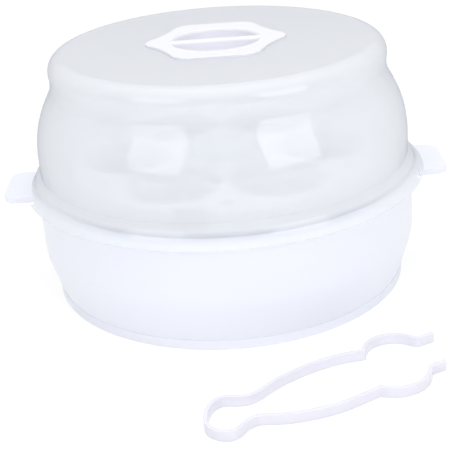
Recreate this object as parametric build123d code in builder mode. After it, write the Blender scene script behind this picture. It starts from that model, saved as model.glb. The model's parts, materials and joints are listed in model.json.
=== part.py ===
from build123d import *
from math import cos, degrees, radians, sin
import os

os.makedirs("parts", exist_ok=True)

# A round steamer for feeding bottles, in millimetres. The origin is the centre of
# the foot ring on the table, +Z is up and the two carrying tabs lie along X.

# Bowl: the water bowl with its foot ring, floor and upright wall
bowl_radius = 118.4
bowl_wall = 2.2
rim_height = 72.2
rim_round = 0.8
foot_radius = 111.8
foot_height = 5.5
foot_ring_width = 3.0
foot_ledge = 0.5
foot_edge_round = 0.3
floor_underside = 3.6
floor_thickness = 2.2
floor_corner = 4.0
curve_middle_radius = 115.1
curve_middle_height = 18.4
curve_top_height = 34.0
curve_foot_slope = 0.42

# Carrying tabs on the bowl, hollow underneath, with a turned-down lip
tab_reach = 139.3
tab_width = 45.0
tab_corner = 9.0
tab_below_rim = 5.7
tab_plate = 2.0
tab_lip_depth = 3.9
tab_lip_wall = 1.8
tab_edge_round = 0.6

# Lid: a thin dome that sits over the rim on a flared skirt, cut back above the tabs
lid_wall = 1.6
lid_height = 151.0
lid_over_tab = 1.5
skirt_over_bowl = 7.0
skirt_edge_slope = 1.3
flare_top_over_bowl = 1.5
flare_top_above_rim = 1.3
flare_top_slope = 0.37
ridge_over_bowl = 0.5
ridge_above_rim = 4.0
ridge_round = 5.0
shoulder_inset = 3.3
crease_above_rim = 8.2
crease_thinning = 0.4
tab_notch_width = 82.0
tab_notch_rise = 2.4
tab_notch_corner = 1.5
body_straight = 7.6
belly_radius = 112.6
belly_below_top = 40.2
waist_radius = 106.4
waist_below_top = 26.4
neck_radius = 102.7
neck_below_top = 14.0
brow_radius = 103.2
brow_round = 9.2

# Grip: a white plate snapped into the lid's top, with two finger wells and a bar
grip_rise = 1.4
grip_half_length = 43.0
grip_half_width = 40.5
grip_front_half = 14.5
grip_corner_x = 26.2
grip_corner_y = 33.6
grip_flank_x = 30.9
grip_flank_y = 21.0
grip_tip_x = 39.6
grip_tip_y = 7.6
grip_edge_round = 0.8
well_radius = 26.5
well_depth = 15.0
well_wall = 1.6
well_edge_round = 2.0
well_dish_round = 11.0
bar_width = 6.3
grip_clearance = 0.3
snap_count = 4
snap_first_angle = 45.0
snap_width = 12.0
snap_reach = 0.9
snap_height = 2.0

# Rack: a drum on six legs whose deck holds six bottles round a small tray
rack_radius = 97.0
rack_top = 80.0
rack_wall = 2.0
deck_thickness = 1.8
rack_edge_round = 1.2
rack_skirt_bottom = 44.0
rack_on_floor = 0.3
leg_count = 6
leg_width = 34.0
window_corner = 9.0
bottle_count = 6
bottle_circle_radius = 62.0
bottle_hole_radius = 28.5
collar_wall = 1.5
collar_depth = 10.0
deck_vent_ring_radius = 85.0
deck_vent_radius = 4.0
slot_count = 36
slot_width = 5.0
slot_height = 1.6
slot_below_deck = 0.6
notch_angle = 257.0
notch_width = 20.0
notch_depth = 16.0
notch_in_deck = 5.0

# Tray: the small basket for teats, hung in the middle of the deck
tray_radius = 27.6
tray_wall = 1.5
tray_corner = 3.0
tray_depth = 18.0
tray_flange_width = 3.8
tray_flange = 1.6
tray_flange_round = 0.5
tray_clearance = 0.4
tray_on_deck = 0.3
tray_hole_radius = 2.6
tray_hole_ring_radius = 16.0
tray_hole_count = 8

# Tongs: one flat strip bent into a bow with two long arms, lying on the table
tongs_height = 6.0
tongs_thickness = 2.2
tongs_joint_gap = 0.45
tongs_tip_round = 4.0
tongs_bow_x = -20.0
tongs_bow_y = -192.0
tongs_angle = 22.0
# Points along the strip, seen from above, measured from the far end of its bow
tongs_rear_tip = (148.4, 19.2)
tongs_rear_jaw_end = (137.0, 18.6)
tongs_rear_jaw_middle = (123.0, 30.5)
tongs_rear_arm_points = ((105.2, 21.3), (98.5, 22.9), (80.0, 24.0), (59.0, 20.9), (45.6, 16.6))
tongs_rear_waist = (30.8, 12.0)
tongs_bow_rear_points = ((24.6, 14.0), (18.0, 17.0), (10.0, 13.6), (4.2, 5.6))
tongs_bow_front_points = ((1.9, -3.2), (4.9, -9.9), (11.2, -13.1), (19.6, -9.4))
tongs_front_waist = (26.3, -7.3)
tongs_front_arm_points = ((37.0, -11.4), (52.0, -15.8), (70.0, -17.4), (84.0, -15.8), (94.6, -14.2))
tongs_front_jaw_middle = (107.0, -20.9)
tongs_front_jaw_end = (127.8, -9.4)
tongs_front_tip = (137.6, -9.0)

# Heights and radii that follow from the sizes above
floor_top = floor_underside + floor_thickness
tab_top = rim_height - tab_below_rim
inner_radius = bowl_radius - bowl_wall
skirt_bottom = tab_top + lid_over_tab
skirt_radius = bowl_radius + skirt_over_bowl
flare_top_radius = bowl_radius + flare_top_over_bowl
flare_top_height = rim_height + flare_top_above_rim
ridge_radius = bowl_radius + ridge_over_bowl
ridge_height = rim_height + ridge_above_rim
body_radius = ridge_radius - shoulder_inset
crease_height = rim_height + crease_above_rim
body_straight_height = crease_height + body_straight
belly_height = lid_height - belly_below_top
waist_height = lid_height - waist_below_top
neck_height = lid_height - neck_below_top
brow_height = lid_height - brow_round
grip_top = lid_height + grip_rise
cup_outer_radius = well_radius + well_wall
lid_hole_radius = cup_outer_radius + grip_clearance
skirt_inner_radius = rack_radius - rack_wall
deck_underside = rack_top - deck_thickness
leg_bottom = floor_top + rack_on_floor
tray_seat = rack_top + tray_on_deck


def wall_curve(offset_in, start_height):
    """The bowl's curved wall from a height above the foot up to the straight part."""
    start = (foot_radius - foot_ledge - offset_in, start_height)
    middle = (curve_middle_radius - offset_in, curve_middle_height)
    end = (bowl_radius - offset_in, curve_top_height)
    return Spline(start, middle, end, tangents=((curve_foot_slope, 1), (0, 1)))


# Base bowl: revolved wall and floor, then the two tabs
with BuildPart() as base_bowl:
    with BuildSketch(Plane.XZ):
        with BuildLine():
            outer_curve = wall_curve(0, foot_height)
            Polyline(
                outer_curve @ 0,
                (foot_radius, foot_height),
                (foot_radius, 0),
                (foot_radius - foot_ring_width, 0),
                (foot_radius - foot_ring_width, floor_underside),
                (0, floor_underside),
                (0, rim_height),
                (bowl_radius, rim_height),
                outer_curve @ 1,
            )
        make_face()
    revolve(axis=Axis.Z)
    with BuildSketch(Plane.XY.offset(tab_top - tab_lip_depth)):
        RectangleRounded(2 * tab_reach, tab_width, tab_corner)
    extrude(amount=tab_lip_depth)
    with BuildSketch(Plane.XY.offset(tab_top - tab_lip_depth)):
        RectangleRounded(
            2 * (tab_reach - tab_lip_wall),
            tab_width - 2 * tab_lip_wall,
            tab_corner - tab_lip_wall,
        )
        Circle(bowl_radius, mode=Mode.SUBTRACT)
    extrude(amount=tab_lip_depth - tab_plate, mode=Mode.SUBTRACT)
    fillet(
        base_bowl.edges()
        .filter_by_position(Axis.Z, tab_top - 0.01, tab_top + 0.01)
        .filter_by(lambda edge: abs(edge.center().X) > bowl_radius),
        radius=tab_edge_round,
    )
    with BuildSketch(Plane.XZ):
        with BuildLine():
            inner_curve = wall_curve(bowl_wall, floor_top)
            Polyline(
                inner_curve @ 0,
                (0, floor_top),
                (0, rim_height),
                (inner_radius, rim_height),
                inner_curve @ 1,
            )
        make_face()
    revolve(axis=Axis.Z, mode=Mode.SUBTRACT)
    fillet(base_bowl.faces().sort_by(Axis.Z)[-1].edges(), radius=rim_round)
    fillet(
        base_bowl.edges()
        .filter_by_position(Axis.Z, foot_height, foot_height)
        .sort_by(SortBy.RADIUS)[-1],
        radius=foot_edge_round,
    )
    fillet(
        base_bowl.edges().filter_by_position(Axis.Z, floor_top, floor_top),
        radius=floor_corner,
    )

base_bowl.part.label = "base_bowl"
export_step(base_bowl.part, "parts/base_bowl.step")


def dome_curve(offset_in):
    """The lid's side from the straight part over the belly and in to the neck."""
    return Spline(
        (body_radius - offset_in, body_straight_height),
        (belly_radius - offset_in, belly_height),
        (waist_radius - offset_in, waist_height),
        (neck_radius - offset_in, neck_height),
        tangents=((0, 1), (0, 1)),
    )


def skirt_curve(offset_in):
    """The lid's flared skirt, from its lower edge up to the top of the flare."""
    return Spline(
        (skirt_radius - offset_in, skirt_bottom),
        (flare_top_radius - offset_in, flare_top_height),
        tangents=((-skirt_edge_slope, 1), (-flare_top_slope, 1)),
    )


# Lid: outer form with the skirt and shoulder, hollowed by the inner form
with BuildPart() as lid_dome:
    with BuildSketch(Plane.XZ):
        with BuildLine():
            outer_dome = dome_curve(0)
            brow = Spline(
                outer_dome @ 1,
                (brow_radius, brow_height),
                tangents=((0, 1), (0, 1)),
            )
            top_round = JernArc(brow @ 1, (0, 1), brow_round, 90)
            flare = skirt_curve(0)
            Polyline(
                flare @ 1,
                (ridge_radius, ridge_height),
                (body_radius, crease_height),
                outer_dome @ 0,
            )
            Polyline(
                top_round @ 1,
                (0, lid_height),
                (0, skirt_bottom),
                flare @ 0,
            )
        make_face()
    revolve(axis=Axis.Z)
    fillet(
        lid_dome.edges().filter_by_position(Axis.Z, ridge_height, ridge_height),
        radius=ridge_round,
    )
    with BuildSketch(Plane.XZ):
        with BuildLine():
            inner_dome = dome_curve(lid_wall)
            inner_brow = Spline(
                inner_dome @ 1,
                (brow_radius - lid_wall, brow_height),
                tangents=((0, 1), (0, 1)),
            )
            inner_top = JernArc(inner_brow @ 1, (0, 1), brow_round - lid_wall, 90)
            inner_flare = skirt_curve(lid_wall)
            Polyline(
                inner_flare @ 1,
                (ridge_radius - lid_wall, ridge_height),
                (body_radius - lid_wall, crease_height - crease_thinning),
                inner_dome @ 0,
            )
            Polyline(
                inner_top @ 1,
                (0, (inner_top @ 1).Y),
                (0, skirt_bottom),
                inner_flare @ 0,
            )
        make_face()
    revolve(axis=Axis.Z, mode=Mode.SUBTRACT)
    with Locations((0, 0, lid_height)):
        Hole(lid_hole_radius, depth=2 * lid_wall)
    with BuildSketch(Plane.YZ.offset(-bowl_radius)):
        with Locations((0, skirt_bottom)):
            RectangleRounded(tab_notch_width, 2 * tab_notch_rise, tab_notch_corner)
    extrude(amount=2 * bowl_radius, both=True, mode=Mode.SUBTRACT)

lid_dome.part.label = "lid_dome"
export_step(lid_dome.part, "parts/lid_dome.step")

# The hollow of the two finger wells, parted by the bar
with BuildPart() as grip_wells:
    with BuildSketch(Plane.XY.offset(grip_top - well_depth)):
        Circle(well_radius)
    extrude(amount=well_depth)
    fillet(grip_wells.edges().group_by(Axis.Z)[0], radius=well_dish_round)
    with BuildSketch(Plane.XY.offset(grip_top - well_depth)):
        Rectangle(2 * cup_outer_radius, bar_width)
    extrude(amount=well_depth, mode=Mode.SUBTRACT)

# Lid grip: lobed plate, round cup below it and a hollow bar that parts the two wells
with BuildPart() as lid_grip:
    with BuildSketch(Plane.XY.offset(lid_height)):
        with BuildLine():
            Line((0, grip_half_width), (grip_front_half, grip_half_width))
            TangentArc(
                (grip_front_half, grip_half_width),
                (grip_corner_x, grip_corner_y),
                tangent=(1, 0),
            )
            ThreePointArc(
                (grip_corner_x, grip_corner_y),
                (grip_flank_x, grip_flank_y),
                (grip_tip_x, grip_tip_y),
            )
            TangentArc((grip_half_length, 0), (grip_tip_x, grip_tip_y), tangent=(0, 1))
            mirror(about=Plane.XZ)
            mirror(about=Plane.YZ)
        make_face()
    extrude(amount=grip_rise)
    fillet(lid_grip.edges().group_by(Axis.Z)[-1], radius=grip_edge_round)
    with BuildSketch(Plane.XY.offset(grip_top - well_depth - well_wall)):
        Circle(cup_outer_radius)
    extrude(until=Until.NEXT)
    fillet(lid_grip.edges().group_by(Axis.Z)[0], radius=well_dish_round + well_wall)
    add(grip_wells.part, mode=Mode.SUBTRACT)
    fillet(
        lid_grip.faces()
        .filter_by(Axis.Z)
        .sort_by(Axis.Z)[-1]
        .inner_wires()
        .edges(),
        radius=well_edge_round,
    )
    with BuildSketch(Plane.XY.offset(grip_top - well_depth - well_wall)):
        Rectangle(2 * (well_radius - well_wall), bar_width - 2 * well_wall)
    extrude(amount=well_depth, mode=Mode.SUBTRACT)
    with BuildSketch(Plane.XY.offset(lid_height - lid_wall - snap_height)):
        with PolarLocations(cup_outer_radius, snap_count, start_angle=snap_first_angle):
            Rectangle(2 * well_wall, snap_width)
        Circle(cup_outer_radius + snap_reach, mode=Mode.INTERSECT)
        Circle(cup_outer_radius - snap_reach, mode=Mode.SUBTRACT)
    extrude(amount=snap_height)

lid_grip.part.label = "lid_grip"
export_step(lid_grip.part, "parts/lid_grip.step")

# Bottle rack: drum with a holed deck, a slotted wall and six legs
with BuildPart() as bottle_rack:
    with BuildSketch(Plane.XY.offset(leg_bottom)):
        Circle(rack_radius)
    extrude(amount=rack_top - leg_bottom)
    fillet(bottle_rack.edges().group_by(Axis.Z)[-1], radius=rack_edge_round)
    with BuildSketch(Plane.XY.offset(leg_bottom)):
        Circle(skirt_inner_radius)
    extrude(amount=deck_underside - leg_bottom, mode=Mode.SUBTRACT)
    leg_pitch = 360 / leg_count
    window_half_angle = leg_pitch / 2 - degrees(leg_width / 2 / rack_radius)
    window_width = 2 * rack_radius * sin(radians(window_half_angle))
    window_height = rack_skirt_bottom - leg_bottom
    for leg in range(leg_count):
        outward = (cos(radians(leg * leg_pitch)), sin(radians(leg * leg_pitch)), 0)
        with BuildSketch(Plane((0, 0, leg_bottom), x_dir=(0, 0, 1), z_dir=outward)):
            RectangleRounded(2 * window_height, window_width, window_corner)
        extrude(amount=rack_radius + rack_wall, mode=Mode.SUBTRACT)
    with BuildSketch(Plane.XY.offset(deck_underside - collar_depth)):
        with PolarLocations(bottle_circle_radius, bottle_count):
            Circle(bottle_hole_radius + collar_wall)
    extrude(amount=collar_depth)
    with BuildSketch(Plane.XY.offset(rack_top)):
        with PolarLocations(bottle_circle_radius, bottle_count):
            Circle(bottle_hole_radius)
        with PolarLocations(deck_vent_ring_radius, bottle_count, start_angle=180 / bottle_count):
            Circle(deck_vent_radius)
        Circle(tray_radius + tray_clearance)
    extrude(amount=-collar_depth - deck_thickness, mode=Mode.SUBTRACT)
    with Locations((0, 0, deck_underside - slot_below_deck - slot_height / 2)):
        with PolarLocations(rack_radius, slot_count, start_angle=180 / slot_count):
            Box(4 * rack_wall, slot_width, slot_height, mode=Mode.SUBTRACT)
    with Locations((0, 0, rack_top)):
        with PolarLocations(rack_radius, 2, start_angle=notch_angle):
            Box(2 * notch_in_deck, notch_width, 2 * notch_depth, mode=Mode.SUBTRACT)

# The rack's wall and the deck round each bottle, which all part at plain faces
with BuildPart() as rack_wall:
    add(bottle_rack.part)
    with BuildSketch(Plane.XY.offset(leg_bottom)):
        Circle(skirt_inner_radius)
    extrude(amount=rack_top - leg_bottom, mode=Mode.SUBTRACT)

rack_wall.part.label = "rack_wall"
export_step(rack_wall.part, "parts/rack_wall.step")

sector_angle = 360 / bottle_count
for place in range(bottle_count):
    with BuildPart() as rack_deck:
        add(bottle_rack.part)
        with BuildSketch(Plane.XY.offset(leg_bottom)):
            with BuildLine():
                edge = CenterArc(
                    (0, 0), skirt_inner_radius, (place - 0.5) * sector_angle, sector_angle
                )
                Polyline(edge @ 1, (0, 0), edge @ 0)
            make_face()
        extrude(amount=rack_top - leg_bottom, mode=Mode.INTERSECT)
    rack_deck.part.label = f"rack_deck_{place + 1}"
    export_step(rack_deck.part, f"parts/rack_deck_{place + 1}.step")

# Teat tray: flanged basket with drain holes
with BuildPart() as teat_tray:
    with BuildSketch(Plane.XY.offset(tray_seat - tray_depth)):
        Circle(tray_radius)
    extrude(amount=tray_depth)
    fillet(teat_tray.edges().group_by(Axis.Z)[0], radius=tray_corner)
    with BuildSketch(Plane.XY.offset(tray_seat)):
        Circle(tray_radius + tray_flange_width)
    extrude(amount=tray_flange)
    fillet(teat_tray.edges().group_by(Axis.Z)[-1], radius=tray_flange_round)
    with BuildSketch(Plane.XY.offset(tray_seat + tray_flange)):
        Circle(tray_radius - tray_wall)
    extrude(amount=tray_wall - tray_depth - tray_flange, mode=Mode.SUBTRACT)
    with BuildSketch(Plane.XY.offset(tray_seat - tray_depth)):
        Circle(tray_hole_radius)
        with PolarLocations(tray_hole_ring_radius, tray_hole_count):
            Circle(tray_hole_radius)
    extrude(amount=tray_wall, mode=Mode.SUBTRACT)

teat_tray.part.label = "teat_tray"
export_step(teat_tray.part, "parts/teat_tray.step")

# Tongs: one strip along its middle line, seen from above, on the table by the bowl
tongs_plane = Plane(
    (tongs_bow_x, tongs_bow_y, 0),
    x_dir=(cos(radians(tongs_angle)), sin(radians(tongs_angle)), 0),
)

with BuildPart() as tongs_strip:
    with BuildSketch(tongs_plane):
        with BuildLine() as strip_line:
            sweep_line = Spline(
                *tongs_rear_arm_points,
                tongs_rear_waist,
                *tongs_bow_rear_points,
                *tongs_bow_front_points,
                tongs_front_waist,
                *tongs_front_arm_points,
            )
            ThreePointArc(sweep_line @ 0, tongs_rear_jaw_middle, tongs_rear_jaw_end)
            Line(tongs_rear_jaw_end, tongs_rear_tip)
            ThreePointArc(sweep_line @ 1, tongs_front_jaw_middle, tongs_front_jaw_end)
            Line(tongs_front_jaw_end, tongs_front_tip)
            jaw_ends = [
                strip_line.vertices().sort_by_distance(Vertex(*jaw_end, 0))[0]
                for jaw_end in (tongs_rear_jaw_end, tongs_front_jaw_end)
            ]
            fillet(jaw_ends, radius=tongs_tip_round)
        trace(line_width=tongs_thickness)
    extrude(amount=tongs_height)

# The bow flexes at its two waists, where the strip is parted into bow and arms
rear_pivot = tongs_plane.from_local_coords((*tongs_rear_waist, 0))
front_pivot = tongs_plane.from_local_coords((*tongs_front_waist, 0))
across_waist = rear_pivot - front_pivot
waist_plane = Plane(front_pivot, x_dir=across_waist, z_dir=across_waist.cross(Vector(0, 0, 1)))

with BuildPart() as tongs_bow:
    add(tongs_strip.part)
    split(bisect_by=waist_plane.offset(-tongs_joint_gap / 2), keep=Keep.BOTTOM)

tongs_bow.part.label = "tongs_bow"
export_step(tongs_bow.part, "parts/tongs_bow.step")

with BuildPart() as tongs_arms:
    add(tongs_strip.part)
    split(bisect_by=waist_plane.offset(tongs_joint_gap / 2), keep=Keep.TOP)

with BuildPart() as tongs_rear_arm:
    add(tongs_arms.solids().sort_by(Axis.Y)[-1])

tongs_rear_arm.part.label = "tongs_rear_arm"
export_step(tongs_rear_arm.part, "parts/tongs_rear_arm.step")

with BuildPart() as tongs_front_arm:
    add(tongs_arms.solids().sort_by(Axis.Y)[0])

tongs_front_arm.part.label = "tongs_front_arm"
export_step(tongs_front_arm.part, "parts/tongs_front_arm.step")
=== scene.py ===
import json
from math import cos, pi, radians, sin, tan

import bmesh
import bpy
from mathutils import Euler, Matrix, Vector


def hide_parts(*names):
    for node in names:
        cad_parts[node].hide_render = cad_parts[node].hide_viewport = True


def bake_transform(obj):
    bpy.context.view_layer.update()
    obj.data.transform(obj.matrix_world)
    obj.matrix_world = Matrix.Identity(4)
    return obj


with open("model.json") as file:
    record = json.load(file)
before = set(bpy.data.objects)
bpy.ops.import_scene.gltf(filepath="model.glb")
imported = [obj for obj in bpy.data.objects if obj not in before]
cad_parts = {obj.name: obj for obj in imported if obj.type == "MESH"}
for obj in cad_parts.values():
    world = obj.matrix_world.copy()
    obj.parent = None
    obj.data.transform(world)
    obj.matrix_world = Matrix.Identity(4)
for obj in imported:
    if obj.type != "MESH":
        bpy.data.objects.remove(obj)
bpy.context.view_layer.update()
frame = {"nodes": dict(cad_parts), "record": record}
scene = bpy.context.scene

# The camera stands where the photograph was taken from: in front of the bowl, a little
# above the lid, with a short telephoto lens and the picture tipped by four degrees.
eye = Vector((0.0, -0.643, 0.3111))
eye_down = 23.715
eye_turn = 0.225
eye_roll = -4.065
picture_side = 449
focal_pixels = 1072.4
film_width = 36.0
nearest_seen = 0.01

camera = bpy.data.objects.new("camera", bpy.data.cameras.new("camera"))
camera.data.sensor_width = film_width
camera.data.lens = focal_pixels / picture_side * film_width
camera.data.clip_start = nearest_seen
aim = Euler((radians(90 - eye_down), 0, radians(eye_turn))).to_matrix().to_4x4()
camera.matrix_world = Matrix.Translation(eye) @ aim @ Matrix.Rotation(radians(eye_roll), 4, "Z")
scene.collection.objects.link(camera)
scene.camera = camera
scene.view_settings.view_transform = "Standard"

# The table is a wide sheet of white card. What the camera and a shiny surface see of it
# is mostly its own white, so that only a faint shadow shows, as in the photograph.
table_half = 3.0
table_below_foot = 0.0002
table_white = (0.94, 0.94, 0.945, 1.0)
table_own_white = 0.72
table_strength = 1.06
plain_white = (1.0, 1.0, 1.0, 1.0)


class Dye:
    """An output in a material. Arithmetic on it adds Math nodes, node() adds any other."""

    def __init__(self, tree, output=None):
        self.tree = tree
        self.output = output

    def node(self, kind, settings, sockets):
        """Adds a node of a type: its settings first, then its sockets' values or links."""
        made = self.tree.nodes.new("ShaderNode" + kind)
        for name, value in settings.items():
            setattr(made, name, value)
        for name, value in sockets.items():
            if isinstance(value, Dye):
                self.tree.links.new(value.output, made.inputs[name])
            else:
                made.inputs[name].default_value = value
        return Dye(self.tree, made.outputs[0] if made.outputs else None)

    def __getitem__(self, name):
        return Dye(self.tree, self.output.node.outputs[name])

    def math(self, operation, first, second):
        return self.node("Math", {"operation": operation}, {0: first, 1: second})

    def __add__(self, other):
        return self.math("ADD", self, other)

    __radd__ = __add__

    def __sub__(self, other):
        return self.math("SUBTRACT", self, other)

    def __rsub__(self, other):
        return self.math("SUBTRACT", other, self)

    def __mul__(self, other):
        return self.math("MULTIPLY", self, other)

    __rmul__ = __mul__

    def __truediv__(self, other):
        return self.math("DIVIDE", self, other)

    def __rtruediv__(self, other):
        return self.math("DIVIDE", other, self)

    def __pow__(self, other):
        return self.math("POWER", self, other)

    def __rpow__(self, other):
        return self.math("POWER", other, self)

    def at_most(self, other):
        return self.math("MINIMUM", self, other)

    def at_least(self, other):
        return self.math("MAXIMUM", self, other)

    def blend(self, share, first, second):
        return self.node("Mix", {"data_type": "RGBA"}, {0: share, 6: first, 7: second})[2]


def new_material(name):
    """An empty material and the Dye that adds nodes to it."""
    material = bpy.data.materials.new(name)
    material.use_nodes = True
    material.node_tree.nodes.clear()
    return material, Dye(material.node_tree)


table_corners = [
    (x * table_half, y * table_half, -table_below_foot)
    for x, y in ((-1, -1), (1, -1), (1, 1), (-1, 1))
]
table_mesh = bpy.data.meshes.new("table")
table_mesh.from_pydata(table_corners, [], [(0, 1, 2, 3)])
table = bpy.data.objects.new("table", table_mesh)
scene.collection.objects.link(table)
card, dye = new_material("white_card")
rays = dye.node("LightPath", {}, {})
seen = rays["Is Camera Ray"].at_least(rays["Is Glossy Ray"])
seen = seen.at_least(rays["Is Transmission Ray"])
lit = dye.node("BsdfDiffuse", {}, {"Color": table_white})
own = dye.node("Emission", {}, {"Color": plain_white, "Strength": table_strength})
surface = dye.node("MixShader", {}, {0: seen * table_own_white, 1: lit, 2: own})
dye.node("OutputMaterial", {}, {"Surface": surface})
table_mesh.materials.append(card)

# The studio: an even soft light, strongest overhead and weakest at the sides. What shines
# mirrors a room that is white behind the object and dim behind the camera. Two square soft
# boxes stand to the left and right in front, and show in the lid.
room_low = 0.305
room_overhead = 1.54
room_white = 1.0
mirrored_at_sides = 0.9
mirrored_fade = 1.6
box_turn = 41.0
box_rise = 21.0
box_distance = 1.4
box_width = 0.80
box_height = 0.72
box_strength_left = 1.95
box_strength_right = 2.4
box_aim = Vector((0, 0, 0.1))

world = bpy.data.worlds.new("studio")
world.use_nodes = True
world.node_tree.nodes.clear()
scene.world = world
dye = Dye(world.node_tree)
rays = dye.node("LightPath", {}, {})
heading = dye.node("SeparateXYZ", {}, {0: dye.node("TexCoord", {}, {})["Generated"]})
overhead = heading["Z"].at_least(0.0)
room = overhead * overhead * room_overhead + (1 - heading["X"] * heading["X"]) * room_low
backdrop = (heading["Y"] * mirrored_fade + mirrored_at_sides).at_least(0.0).at_most(room_white)
mirrored = rays["Is Glossy Ray"] * backdrop
seen = rays["Is Camera Ray"].at_least(rays["Is Transmission Ray"])
strength = room.at_least(mirrored).at_least(seen * room_white)
light = dye.node("Background", {}, {"Color": plain_white, "Strength": strength})
dye.node("OutputWorld", {}, {"Surface": light})

for side, name, box_strength in (
    (-1, "soft_box_left", box_strength_left),
    (1, "soft_box_right", box_strength_right),
):
    lamp = bpy.data.lights.new(name, "AREA")
    lamp.shape = "RECTANGLE"
    lamp.size = box_width
    lamp.size_y = box_height
    lamp.energy = box_strength * pi * box_width * box_height
    turn = radians(box_turn) * side
    rise = radians(box_rise)
    away = Vector((sin(turn) * cos(rise), -cos(turn) * cos(rise), sin(rise)))
    box = bpy.data.objects.new(name, lamp)
    box.location = box_aim + away * box_distance
    box.rotation_euler = away.to_track_quat("Z", "Y").to_euler()
    box.visible_camera = False
    scene.collection.objects.link(box)


# The water bowl: an opaque white polypropylene moulding with a shallow foot, a curved wall
# and two carrying tabs. The rack stands in it and the lid hangs over its rim.
bowl_white = (0.853, 0.873, 0.948, 1.0)
bowl_shade = (0.84, 0.86, 0.937, 1.0)
bowl_roughness = 0.32
plastic_ior = 1.49
cloud_detail = 3.0
mould_cloud_scale = 18.0
mould_cloud_gloss = 0.07
peel_detail = 2.0
peel_depth = 0.00003
mould_peel_scale = 700.0
mould_peel_strength = 0.35


def clouded(dye, place, scale):
    """A noise that changes slowly over a surface, for its colour and gloss."""
    return dye.node("TexNoise", {}, {"Vector": place, "Scale": scale, "Detail": cloud_detail})


def dented(dye, place, scale, strength):
    """The normals of a surface with the fine orange peel that a mould leaves."""
    peel = dye.node("TexNoise", {}, {"Vector": place, "Scale": scale, "Detail": peel_detail})
    return dye.node("Bump", {}, {"Strength": strength, "Distance": peel_depth, "Height": peel})


def moulded(name, colour, shade, roughness, peel_scale):
    """Polypropylene out of a polished mould: faintly cloudy, with a fine orange peel."""
    material, dye = new_material(name)
    place = dye.node("TexCoord", {}, {})["Object"]
    cloud = clouded(dye, place, mould_cloud_scale)
    skin = dye.node(
        "BsdfPrincipled",
        {},
        {
            "Base Color": dye.blend(cloud, shade, colour),
            "Roughness": cloud * mould_cloud_gloss + (roughness - mould_cloud_gloss / 2),
            "IOR": plastic_ior,
            "Normal": dented(dye, place, peel_scale, mould_peel_strength),
        },
    )
    dye.node("OutputMaterial", {}, {"Surface": skin})
    return material


def finish_node(node, material):
    """Gives a CAD node its material."""
    mesh = frame["nodes"][node].data
    mesh.materials.clear()
    mesh.materials.append(material)


bowl_finish = moulded("bowl_white", bowl_white, bowl_shade, bowl_roughness, mould_peel_scale)
finish_node("base_bowl", bowl_finish)

# The lid: one thin milky polypropylene dome whose skirt hangs loose over the bowl's rim. Light
# passes it easily. It looks denser where its wall is seen edge on, and there its colour turns to
# a darker grey, which is partly the denser wall and partly painted shade for its darker sides and
# outline. The skirt, which is thinner, lets the bowl's colour through.
lid_milk = (0.964, 0.975, 0.998, 1.0)
# The darker grey where the wall is seen edge on: partly the denser wall, partly painted shade.
lid_edge_painted_shade = (0.52, 0.55, 0.63, 1.0)
lid_edge_shade_narrow = 4
lid_tint = (0.98, 0.99, 1.0, 1.0)
lid_glow = 0.33
lid_clear = 0.42
lid_clear_to_light = 0.85
lid_thinnest_glance = 0.12
skirt_clear = 0.70
skirt_top = 0.0765
skirt_fade = 0.003
lid_cloud_scale = 14.0
lid_cloud_gloss = 0.01
lid_roughness = 0.01
lid_peel_scale = 600.0
lid_peel_strength = 0.06
lid_mirror_face_on = 0.04
lid_mirror_narrow = 5
lid_most_mirror = 0.25

milky, dye = new_material("lid_milky")
place = dye.node("TexCoord", {}, {})["Object"]
cloud = clouded(dye, place, lid_cloud_scale)
dents = dented(dye, place, lid_peel_scale, lid_peel_strength)
facing = dye.node("LayerWeight", {}, {"Blend": 0.5})["Facing"]

milk_white = dye.node("BsdfDiffuse", {}, {"Color": lid_milk})
milk_glow = dye.node("BsdfTranslucent", {}, {"Color": lid_milk})
# The darker grey mixed in towards the edges is partly the denser wall seen edge on and partly
# painted shade for the lid's darker sides and outline.
edge_painted_shade = dye.node("BsdfDiffuse", {}, {"Color": lid_edge_painted_shade})
edge_painted_shade_glow = dye.node("BsdfTranslucent", {}, {"Color": lid_edge_painted_shade})
milk = dye.node("MixShader", {}, {0: lid_glow, 1: milk_white, 2: milk_glow})
edge = dye.node("MixShader", {}, {0: lid_glow, 1: edge_painted_shade, 2: edge_painted_shade_glow})
wall = dye.node("MixShader", {}, {0: facing**lid_edge_shade_narrow, 1: milk, 2: edge})

height = dye.node("SeparateXYZ", {}, {0: place})["Z"]
skirt = ((skirt_top - height) / skirt_fade).at_least(0.0).at_most(1.0)
clear_seen = skirt * (skirt_clear - lid_clear) + lid_clear
rays = dye.node("LightPath", {}, {})
lighting = rays["Is Shadow Ray"].at_least(rays["Is Diffuse Ray"])
clear_share = clear_seen + lighting * (lid_clear_to_light - clear_seen)
through = clear_share ** (1 / (1 - facing).at_least(lid_thinnest_glance))
clear = dye.node("BsdfTransparent", {}, {"Color": lid_tint})
wall = dye.node("MixShader", {}, {0: through, 1: wall, 2: clear})

gloss = cloud * lid_cloud_gloss + lid_roughness
shine = dye.node("BsdfGlossy", {}, {"Roughness": gloss, "Normal": dents})
mirror = facing**lid_mirror_narrow * (1 - lid_mirror_face_on) + lid_mirror_face_on
skin = dye.node("MixShader", {}, {0: mirror.at_most(lid_most_mirror), 1: wall, 2: shine})
dye.node("OutputMaterial", {}, {"Surface": skin})
finish_node("lid_dome", milky)

# The grip: an opaque white polypropylene plate on the lid's top, whose cup snaps into the hole
# under it. Two dished wells take the fingers, with a bar left standing between them.
grip_white = (0.855, 0.86, 0.915, 1.0)
grip_shade = (0.84, 0.845, 0.90, 1.0)
grip_roughness = 0.22
grip_finish = moulded("grip_white", grip_white, grip_shade, grip_roughness, mould_peel_scale)
finish_node("lid_grip", grip_finish)

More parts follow.
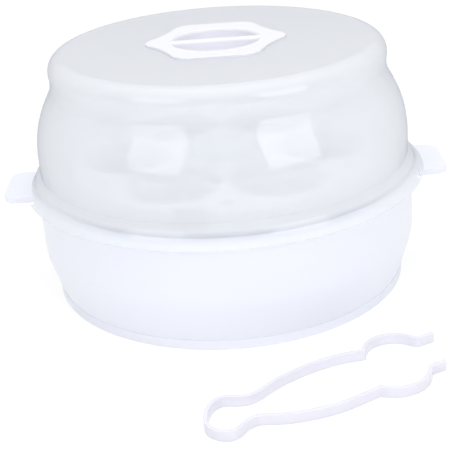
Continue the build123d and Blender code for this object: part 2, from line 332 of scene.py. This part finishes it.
# The rack: a drum on six legs that stands loose in the bowl, one white polypropylene moulding.
# Its deck has places for six bottles. The CAD model parts it into its wall and six sectors.
rack_white = (0.88, 0.91, 0.985, 1.0)
rack_shade = (0.87, 0.90, 0.975, 1.0)
rack_roughness = 0.33
rack_finish = moulded("rack_white", rack_white, rack_shade, rack_roughness, mould_peel_scale)
for node in frame["record"]["behaviour"]["bodies"]["rack"]:
    finish_node(node, rack_finish)

# The teat tray: a small basket with drain holes, of the same white polypropylene, that hangs
# by its flange in the middle of the rack's deck.
finish_node("teat_tray", rack_finish)

# The tongs: one flat strip of springy white plastic standing on edge, bent into a bow with
# two arms and a hollow jaw at the end of each. Each half is drawn from the middle of the bow
# to its tip.
tongs_height = 0.006
tongs_thickness = 0.0022
tongs_edge_round = 0.0004
tongs_edge_steps = 3
tongs_tip_round = 0.0040
tongs_tip_steps = 5
tongs_step = 0.0008
tongs_least_mitre = 0.5
tongs_settling = 60
tongs_bow_place = (-0.020, -0.192, 0)
tongs_turn = 22
tongs_rear_arm = (
    (0.1052, 0.0213), (0.0985, 0.0229), (0.0800, 0.0240), (0.0590, 0.0209), (0.0456, 0.0166),
)
tongs_rear_waist = (0.0308, 0.0120)
tongs_bow_rear = ((0.0246, 0.0140), (0.0180, 0.0170), (0.0100, 0.0136), (0.0042, 0.0056))
tongs_bow_front = ((0.0019, -0.0032), (0.0049, -0.0099), (0.0112, -0.0131), (0.0196, -0.0094))
tongs_front_waist = (0.0263, -0.0073)
tongs_front_arm = (
    (0.0370, -0.0114), (0.0520, -0.0158), (0.0700, -0.0174), (0.0840, -0.0158), (0.0946, -0.0142),
)
rear_jaw_middle = (0.1230, 0.0305)
rear_jaw_end = (0.1370, 0.0186)
rear_tip = (0.1484, 0.0192)
front_jaw_middle = (0.1070, -0.0209)
front_jaw_end = (0.1278, -0.0094)
front_tip = (0.1376, -0.0090)
tongs_white = (0.79, 0.785, 0.865, 1.0)
tongs_shade = (0.77, 0.765, 0.845, 1.0)
tongs_roughness = 0.22
tongs_peel_scale = 900.0

tongs_place = Matrix.Translation(tongs_bow_place) @ Matrix.Rotation(radians(tongs_turn), 4, "Z")


def smooth_spans(points):
    """The line through the points with no jump in slope or bend, as one list a span."""
    points = [Vector(point) for point in points]
    steps = [(b - a).length for a, b in zip(points, points[1:])]
    rises = [(b - a) / step for a, b, step in zip(points, points[1:], steps)]
    slopes = [rises[0].copy() for point in points]
    for settling in range(tongs_settling):
        slopes[0] = (3 * rises[0] - slopes[1]) / 2
        slopes[-1] = (3 * rises[-1] - slopes[-2]) / 2
        for i in range(1, len(points) - 1):
            before, after = steps[i - 1], steps[i]
            pull = 3 * (after * rises[i - 1] + before * rises[i])
            pull -= after * slopes[i - 1] + before * slopes[i + 1]
            slopes[i] = pull / (2 * (before + after))
    spans = []
    for i, step in enumerate(steps):
        span = []
        count = round(step / tongs_step)
        for k in range(count):
            t = k / count
            span.append(
                points[i] * (1 + 2 * t) * (1 - t) ** 2
                + slopes[i] * step * t * (1 - t) ** 2
                + points[i + 1] * t * t * (3 - 2 * t)
                - slopes[i + 1] * step * t * t * (1 - t)
            )
        spans.append(span)
    spans.append([points[-1]])
    return spans


def jaw_line(start, middle, end, tip):
    """The hollow of a jaw, on an arc through three points, and its tip, rounded between."""
    start, middle, end, tip = (Vector(point) for point in (start, middle, end, tip))
    halfway = middle - start
    whole = end - start
    inward = Vector((whole.y, -whole.x)) * halfway.dot(halfway)
    inward -= Vector((halfway.y, -halfway.x)) * whole.dot(whole)
    centre = start + inward / (2 * halfway.cross(whole))
    swing = (end - centre).angle_signed(start - centre)
    if (middle - centre).angle_signed(start - centre) * swing < 0:
        swing -= 2 * pi * (1 if swing > 0 else -1)
    radius = (start - centre).length
    count = round(abs(swing) * radius / tongs_step)
    arc = []
    for k in range(1, count + 1):
        turn = Matrix.Rotation(swing * k / count, 2)
        arc.append(centre + turn @ (start - centre))
    into = (arc[-1] - arc[-2]).normalized()
    out = (tip - end).normalized()
    setback = tongs_tip_round * tan(abs(into.angle_signed(out)) / 2)
    arc = [point for point in arc if (point - end).length > setback]
    first, last = arc[-1], end + out * setback
    corner = []
    for k in range(1, tongs_tip_steps):
        t = k / tongs_tip_steps
        corner.append(first * (1 - t) ** 2 + end * 2 * t * (1 - t) + last * t * t)
    return arc + corner + [last, (last + tip) / 2, tip]


def strip_mesh(name, line):
    """A strip on edge with rounded edges along a line, closed at both ends."""
    rounding = tongs_edge_round
    corner_aside = tongs_thickness / 2 - rounding
    corner_top = tongs_height - rounding
    corners = (
        (corner_aside, rounding, -90),
        (corner_aside, corner_top, 0),
        (-corner_aside, corner_top, 90),
        (-corner_aside, rounding, 180),
    )
    outline = []
    for corner_x, corner_z, turn in corners:
        for step in range(tongs_edge_steps + 1):
            angle = radians(turn + 90 / tongs_edge_steps * step)
            outline.append((corner_x + rounding * cos(angle), corner_z + rounding * sin(angle)))

    form = bmesh.new()
    rings = []
    for i, point in enumerate(line):
        before = (point - line[i - 1]).normalized() if i else (line[1] - point).normalized()
        after = (line[i + 1] - point).normalized() if i + 1 < len(line) else before
        along = (before + after).normalized()
        across = Vector((along.y, -along.x)) / max(along.dot(after), tongs_least_mitre)
        ring = []
        for aside, height in outline:
            flat = point + across * aside
            ring.append(form.verts.new(tongs_place @ Vector((flat.x, flat.y, height))))
        rings.append(ring)

    for ring, following in zip(rings, rings[1:]):
        for i in range(len(outline)):
            k = (i + 1) % len(outline)
            form.faces.new((ring[i], ring[k], following[k], following[i]))
    for end in (form.faces.new(reversed(rings[0])), form.faces.new(rings[-1])):
        for edge in end.edges:
            edge.smooth = False
    bmesh.ops.recalc_face_normals(form, faces=form.faces)
    for face in form.faces:
        face.smooth = len(face.verts) == 4
    mesh = bpy.data.meshes.new(name)
    form.to_mesh(mesh)
    form.free()
    return mesh


tongs_sweep = (*tongs_rear_arm, tongs_rear_waist, *tongs_bow_rear, *tongs_bow_front)
tongs_sweep += (tongs_front_waist, *tongs_front_arm)
tongs_spans = smooth_spans(tongs_sweep)
bow_middle = tongs_sweep.index(tongs_bow_front[0])
rear_run = [point for span in tongs_spans[:bow_middle] for point in span]
front_run = [point for span in tongs_spans[bow_middle:] for point in span]
rear_run.append(front_run[0].copy())
rear_jaw = jaw_line(tongs_sweep[0], rear_jaw_middle, rear_jaw_end, rear_tip)
front_jaw = jaw_line(tongs_sweep[-1], front_jaw_middle, front_jaw_end, front_tip)
rear_line = rear_run[::-1] + rear_jaw
front_line = front_run + front_jaw

tongs_finish = moulded("tongs_white", tongs_white, tongs_shade, tongs_roughness, tongs_peel_scale)
for name, line, waist, body, nodes in (
    ("tongs_rear_half", rear_line, tongs_rear_waist, "rear_arm", ("tongs_bow", "tongs_rear_arm")),
    ("tongs_front_half", front_line, tongs_front_waist, "front_arm", ("tongs_front_arm",)),
):
    half = bpy.data.objects.new(name, strip_mesh(name, line))
    half.data.materials.append(tongs_finish)
    scene.collection.objects.link(half)
    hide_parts(*nodes)
    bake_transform(half)
